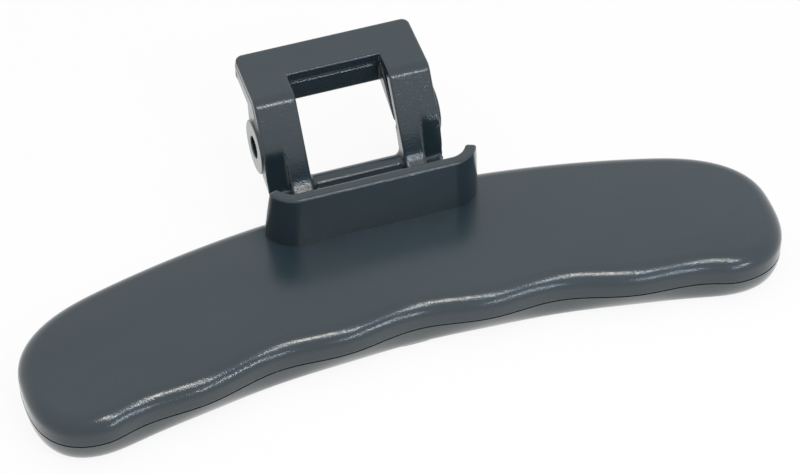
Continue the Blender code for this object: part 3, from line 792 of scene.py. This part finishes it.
# %% Lug and collar
CELL = 0.3
MARGIN = 0.9
SLIDES = 3
along_x = np.arange(0, COLLAR_HALF + MARGIN, CELL)
along_y = np.arange(-COLLAR_FRONT - MARGIN, LUG_BACK + MARGIN, CELL)
along_z = np.arange(ROOT_BOTTOM - MARGIN, LUG_TOP + MARGIN, CELL)
half_field = plastic_distance(*np.meshgrid(along_x, along_y, along_z, indexing="ij", sparse=True))
field = np.concatenate([half_field[:0:-1], half_field])
inside = field < 0
net_low = np.array((-along_x[-1], along_y[0], along_z[0]))
net_points, cube_number = net_points_of(field, inside, net_low, CELL)
net_quads = net_quads_of(inside, cube_number)
for _ in range(SLIDES):
    net_distance, net_normals = distance_and_slope(net_points)
    net_points = net_points - np.clip(net_distance, -CELL / 2, CELL / 2)[:, None] * net_normals
net_distance, net_normals = distance_and_slope(net_points)
print("grid:", field.shape, "furthest from the surface, mm:", round(np.abs(net_distance).max(), 3))

# %% Lug piece
corners = net_points[net_quads]
facing = np.cross(corners[:, 2] - corners[:, 0], corners[:, 3] - corners[:, 1])
turned = (facing * net_normals[net_quads[:, 0]]).sum(1) < 0
net_quads[turned] = net_quads[turned][:, ::-1]
lug = make_piece("lug", net_points, net_quads, net_normals)
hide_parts("front_moulding")

# %% [markdown]
# ## Small marks of the cover
#
# A little tab stands out in the middle of the near edge, and a short round foot sits near
# each end. A cube with a bevel and a cylinder would do. One formula makes both here: a
# superellipsoid, which is a sphere at power 2 and a block with soft edges at power 8.

# %% Tab
TAB_WIDTH = 6.6
TAB_REACH = 0.9
TAB_HEIGHT = 1.5
TAB_INSIDE = 0.6
TAB_POWER = 8


def superellipsoid(centre, half, power, rows=17, columns=32):
    """Grid of signed powers of cosine and sine: a block with round edges, closed by its poles."""
    v, u = np.meshgrid(np.linspace(-math.pi / 2, math.pi / 2, rows),
                       np.linspace(0, 2 * math.pi, columns, endpoint=False), indexing="ij")

    def bend(value):
        return np.sign(value) * np.abs(value) ** (2 / power)

    points = np.stack([bend(np.cos(v)) * bend(np.cos(u)), bend(np.cos(v)) * bend(np.sin(u)),
                       bend(np.sin(v))], -1)
    return (points * half + centre).reshape(-1, 3), ring_quads(rows, columns)


tab_edge = inner_edge(0.0) + COVER_TAPER
tab_centre = (0, tab_edge + TAB_INSIDE, TAB_HEIGHT / 2)
tab_half = (TAB_WIDTH / 2, TAB_REACH + TAB_INSIDE, TAB_HEIGHT / 2)
tab = make_piece("cover_tab", *superellipsoid(tab_centre, tab_half, TAB_POWER))

# %% Feet
FOOT_INSET = 5.2
FOOT_DIAMETER = 2.8
FOOT_HEIGHT = 2.4
FOOT_POWER = 2
POLE_MERGE = 0.000001

near_side = (SPINE[:, 1] > OUTLINE[:, 1]) & (OUTLINE[:, 0] > 0)
underside = grip_ring(COVER_TAPER, 0, 0)[near_side]
underside = underside[np.argsort(underside[:, 0])]
foot_x = GRIP_LENGTH / 2 - FOOT_INSET
foot_y = np.interp(foot_x, underside[:, 0], underside[:, 1])
foot_half = (FOOT_DIAMETER / 2, FOOT_DIAMETER / 2, FOOT_HEIGHT / 2)
foot_points, foot_quads = [], []
for sign in (-1, 1):
    points, quads = superellipsoid((sign * foot_x, foot_y, FOOT_HEIGHT / 2), foot_half, FOOT_POWER)
    foot_quads.append(quads + sum(len(p) for p in foot_points))
    foot_points.append(points)
feet = make_piece("cover_feet", np.concatenate(foot_points), np.concatenate(foot_quads))
for piece in (tab, feet):
    weld = piece.modifiers.new("Poles", "WELD")
    weld.merge_threshold = POLE_MERGE
    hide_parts("back_cover")

# %% [markdown]
# ## Moulded plastic
#
# The plastic is a dark blue-grey with a fine spark-eroded grain, which glitters in small
# specks where a lamp is mirrored. An image of a grained plastic could be laid on it, but
# noise in the shader has no seams and stays sharp up close. Two node groups make it, and
# both mouldings use them: the grain, which drives the bump, and slow flow marks, which
# change colour and gloss a little where the skin cooled unevenly. A coat gives the pale
# sheen at flat angles. The colour itself is very dark, because most of the grey that the
# picture shows on the top faces is the white room mirrored in them.

# %% Node helpers
def new_group(name, inputs, outputs):
    """An empty shader group with float inputs {name: default} and outputs {name: socket type}."""
    group = bpy.data.node_groups.new(name, "ShaderNodeTree")
    group.interface.new_socket("Vector", in_out="INPUT", socket_type="NodeSocketVector")
    for label, value in inputs.items():
        socket = group.interface.new_socket(label, in_out="INPUT", socket_type="NodeSocketFloat")
        socket.default_value = value
    for label, kind in outputs.items():
        group.interface.new_socket(label, in_out="OUTPUT", socket_type=kind)
    return group, group.nodes.new("NodeGroupInput"), group.nodes.new("NodeGroupOutput")


def add_node(tree, kind, inputs=None, **settings):
    """A node with settings, and inputs given as values or as sockets to link."""
    node = tree.nodes.new(kind)
    for key, value in settings.items():
        setattr(node, key, value)
    for key, value in (inputs or {}).items():
        if isinstance(value, bpy.types.NodeSocket):
            tree.links.new(value, node.inputs[key])
        else:
            node.inputs[key].default_value = value
    return node


def add_math(tree, operation, *values):
    """The result of a Math node; each value is a number or a socket."""
    node = add_node(tree, "ShaderNodeMath", dict(enumerate(values)), operation=operation)
    return node.outputs[0]


print("node helpers are ready")

# %% Grain and flow marks
def make_grain():
    """Height: two noises, the fine grain and a coarser orange peel under it."""
    group, start, end = new_group(
        "moulded_grain", {"Grain Scale": 2600, "Peel Scale": 420, "Peel Share": 0.5},
        {"Height": "NodeSocketFloat"})
    fine = add_node(group, "ShaderNodeTexNoise", {
        "Vector": start.outputs["Vector"], "Scale": start.outputs["Grain Scale"],
        "Detail": 2.0, "Roughness": 0.6})
    peel = add_node(group, "ShaderNodeTexNoise", {
        "Vector": start.outputs["Vector"], "Scale": start.outputs["Peel Scale"],
        "Detail": 2.0, "Roughness": 0.5})
    both = add_math(group, "MULTIPLY_ADD", peel.outputs["Fac"], start.outputs["Peel Share"],
                    fine.outputs["Fac"])
    group.links.new(both, end.inputs["Height"])
    return group


def make_flow():
    """Value: slow change along the plastic's flow, 0 to 1, stretched along X."""
    group, start, end = new_group(
        "flow_marks", {"Scale": 28, "Stretch": 0.35}, {"Value": "NodeSocketFloat"})
    wide = add_node(group, "ShaderNodeCombineXYZ", {
        "X": start.outputs["Stretch"], "Y": 1.0, "Z": 1.0})
    moved = add_node(group, "ShaderNodeVectorMath", {
        0: start.outputs["Vector"], 1: wide.outputs[0]}, operation="MULTIPLY")
    noise = add_node(group, "ShaderNodeTexNoise", {
        "Vector": moved.outputs[0], "Scale": start.outputs["Scale"],
        "Detail": 3.0, "Roughness": 0.55})
    spread = add_node(group, "ShaderNodeMapRange", {
        "Value": noise.outputs["Fac"], "From Min": 0.3, "From Max": 0.7})
    group.links.new(spread.outputs["Result"], end.inputs["Value"])
    return group


grain_group = make_grain()
flow_group = make_flow()
print("groups:", grain_group.name, flow_group.name)

# %% Plastic material
COAT_ROUGHNESS = 0.3


def make_plastic(name, dark, light, roughness, grain_depth, body_ior, coat_ior):
    """Principled plastic: flow marks choose colour and gloss, grain drives the bump."""
    material = bpy.data.materials.new(name)
    material.use_nodes = True
    tree = material.node_tree
    shader = tree.nodes["Principled BSDF"]
    place = add_node(tree, "ShaderNodeTexCoord").outputs["Object"]
    flow = add_node(tree, "ShaderNodeGroup", node_tree=flow_group)
    tree.links.new(place, flow.inputs["Vector"])
    grain = add_node(tree, "ShaderNodeGroup", node_tree=grain_group)
    tree.links.new(place, grain.inputs["Vector"])
    colour = tree.nodes.new("ShaderNodeMix")
    colour.data_type = "RGBA"
    tree.links.new(flow.outputs["Value"], colour.inputs[0])
    colour.inputs[6].default_value = dark
    colour.inputs[7].default_value = light
    tree.links.new(colour.outputs[2], shader.inputs["Base Color"])
    gloss = add_node(tree, "ShaderNodeMapRange", {
        "Value": flow.outputs["Value"], "To Min": roughness[0], "To Max": roughness[1]})
    tree.links.new(gloss.outputs["Result"], shader.inputs["Roughness"])
    bump = add_node(tree, "ShaderNodeBump", {
        "Strength": 1.0, "Distance": grain_depth, "Height": grain.outputs["Height"]})
    tree.links.new(bump.outputs["Normal"], shader.inputs["Normal"])
    shader.inputs["IOR"].default_value = body_ior
    shader.inputs["Coat Weight"].default_value = 1.0
    shader.inputs["Coat IOR"].default_value = coat_ior
    shader.inputs["Coat Roughness"].default_value = COAT_ROUGHNESS
    print(name, "roughness", roughness, "grain, mm:", grain_depth / MM)
    return material


# %% Plastic on the pieces
front_plastic = make_plastic(
    "front_plastic_look", dark=(0.011, 0.021, 0.028, 1), light=(0.017, 0.030, 0.039, 1),
    roughness=(0.14, 0.20), grain_depth=0.00004, body_ior=1.5, coat_ior=1.2)
cover_plastic = make_plastic(
    "cover_plastic_look", dark=(0.013, 0.022, 0.026, 1), light=(0.019, 0.030, 0.034, 1),
    roughness=(0.14, 0.20), grain_depth=0.00003, body_ior=1.6, coat_ior=1.5)
for piece in (shell, lug):
    piece.data.materials.append(front_plastic)
for piece in (cover, tab, feet):
    piece.data.materials.append(cover_plastic)
for name, look in (("front_moulding", front_plastic), ("back_cover", cover_plastic)):
    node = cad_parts[name]
    node.data.materials.clear()
    node.data.materials.append(look)

# %% [markdown]
# ## White table, white surroundings
#
# The picture is a cut-out look: everything round the handle is white. Strong light on a
# white table would do that, but it would also wash out the dark plastic. So the floor and
# the world are white for the camera and in reflections only. For diffuse light the world is
# a ceiling light, 3.8 z^4 + 0.05, so top faces are lighter than the collar's front, as they
# are in the picture. The floor is not fully bright to the camera, so the soft shadow under
# the handle stays. Neither is sampled as a lamp, because a lamp's light doesn't tell
# diffuse from glossy rays, and the faces seen at a flat angle would lose their reflections.

# %% Floor
FLOOR_HALF = 6
FLOOR_GREY = 0.6
FLOOR_ROUGHNESS = 0.9
FLOOR_GLOW = 0.9

floor_corners = [(x * FLOOR_HALF, y * FLOOR_HALF, 0) for x, y in ((-1, -1), (1, -1), (1, 1), (-1, 1))]
floor_mesh = bpy.data.meshes.new("floor")
floor_mesh.from_pydata(floor_corners, [], [(0, 1, 2, 3)])
floor = bpy.data.objects.new("floor", floor_mesh)
bpy.context.scene.collection.objects.link(floor)
floor_look = bpy.data.materials.new("white_floor")
floor_look.use_nodes = True
tree = floor_look.node_tree
paper = tree.nodes["Principled BSDF"]
paper.inputs["Base Color"].default_value = (FLOOR_GREY, FLOOR_GREY, FLOOR_GREY, 1)
paper.inputs["Roughness"].default_value = FLOOR_ROUGHNESS
rays = add_node(tree, "ShaderNodeLightPath").outputs
seen = add_math(tree, "MAXIMUM", rays["Is Camera Ray"], rays["Is Glossy Ray"])
seen = add_math(tree, "MAXIMUM", seen, rays["Is Transmission Ray"])
share = add_math(tree, "MULTIPLY", seen, FLOOR_GLOW)
glow = add_node(tree, "ShaderNodeEmission", {"Color": (1, 1, 1, 1), "Strength": 1.0})
mix = add_node(tree, "ShaderNodeMixShader", {0: share, 1: paper.outputs[0], 2: glow.outputs[0]})
tree.links.new(mix.outputs[0], tree.nodes["Material Output"].inputs["Surface"])
floor_look.cycles.emission_sampling = "NONE"
floor.data.materials.append(floor_look)
print("floor is", 2 * FLOOR_HALF, "m wide")

# %% World
CEILING_LIGHT = 3.8
SIDE_LIGHT = 0.05

world = bpy.data.worlds.new("studio")
bpy.context.scene.world = world
world.use_nodes = True
tree = world.node_tree
background = tree.nodes["Background"]
background.inputs["Color"].default_value = (1, 1, 1, 1)
rays = add_node(tree, "ShaderNodeLightPath").outputs
direction = add_node(tree, "ShaderNodeTexCoord").outputs["Generated"]
height = add_node(tree, "ShaderNodeSeparateXYZ", {0: direction}).outputs["Z"]
square = add_math(tree, "MULTIPLY", height, height)
fourth = add_math(tree, "MULTIPLY", square, square)
ceiling = add_math(tree, "MULTIPLY_ADD", fourth, CEILING_LIGHT, SIDE_LIGHT)
level = add_node(tree, "ShaderNodeMix", {0: rays["Is Diffuse Ray"], 2: 1.0, 3: ceiling})
tree.links.new(level.outputs[0], background.inputs["Strength"])
world.cycles.sampling_method = "NONE"
print("diffuse light from straight above:", round(CEILING_LIGHT + SIDE_LIGHT, 2))

# %% [markdown]
# ## Lamps
#
# The highlights on the near rim change from cream at the crests to cool white in the
# grooves. So the photographer had a warm light high in front and cooler ones further round
# to the right. One big panel would smear them into a band. One warm and three cool small
# panels stand where the rim, the lug's fold and the feet of the struts mirror them, and
# they are weak, so they hardly light the rest.

# %% Lamps
LAMP_DISTANCE = 0.35
WARM = (1.0, 0.97, 0.88)
COOL = (0.78, 0.89, 1.0)


def add_panel(name, azimuth, elevation, size, power, colour):
    """An area lamp on a sphere round the handle, facing it; angles in degrees, power in W."""
    data = bpy.data.lights.new(name, "AREA")
    data.shape = "RECTANGLE"
    data.size, data.size_y = size
    data.energy = power
    data.color = colour
    lamp = bpy.data.objects.new(name, data)
    bpy.context.scene.collection.objects.link(lamp)
    a, e = math.radians(azimuth), math.radians(elevation)
    out = Vector((math.sin(a) * math.cos(e), -math.cos(a) * math.cos(e), math.sin(e)))
    lamp.location = out * LAMP_DISTANCE
    lamp.rotation_mode = "QUATERNION"
    lamp.rotation_quaternion = out.to_track_quat("Z", "Y")
    return lamp


lamps = [
    add_panel("warm_front", 5, 54, (0.03, 0.05), 0.22, WARM),
    add_panel("cool_low", 14, 3, (0.018, 0.018), 0.08, COOL),
    add_panel("cool_middle", 26, 9, (0.018, 0.018), 0.11, COOL),
    add_panel("cool_high", 19, 43, (0.018, 0.018), 0.15, COOL),
]
print("lamps:", [lamp.name for lamp in lamps])

# %% [markdown]
# ## Colours as written
#
# Blender's default view softens bright tones. The Standard view transform shows a colour
# about as it is written, which makes colours easy to compare with the picture.

# %% View
bpy.context.scene.view_settings.view_transform = "Standard"
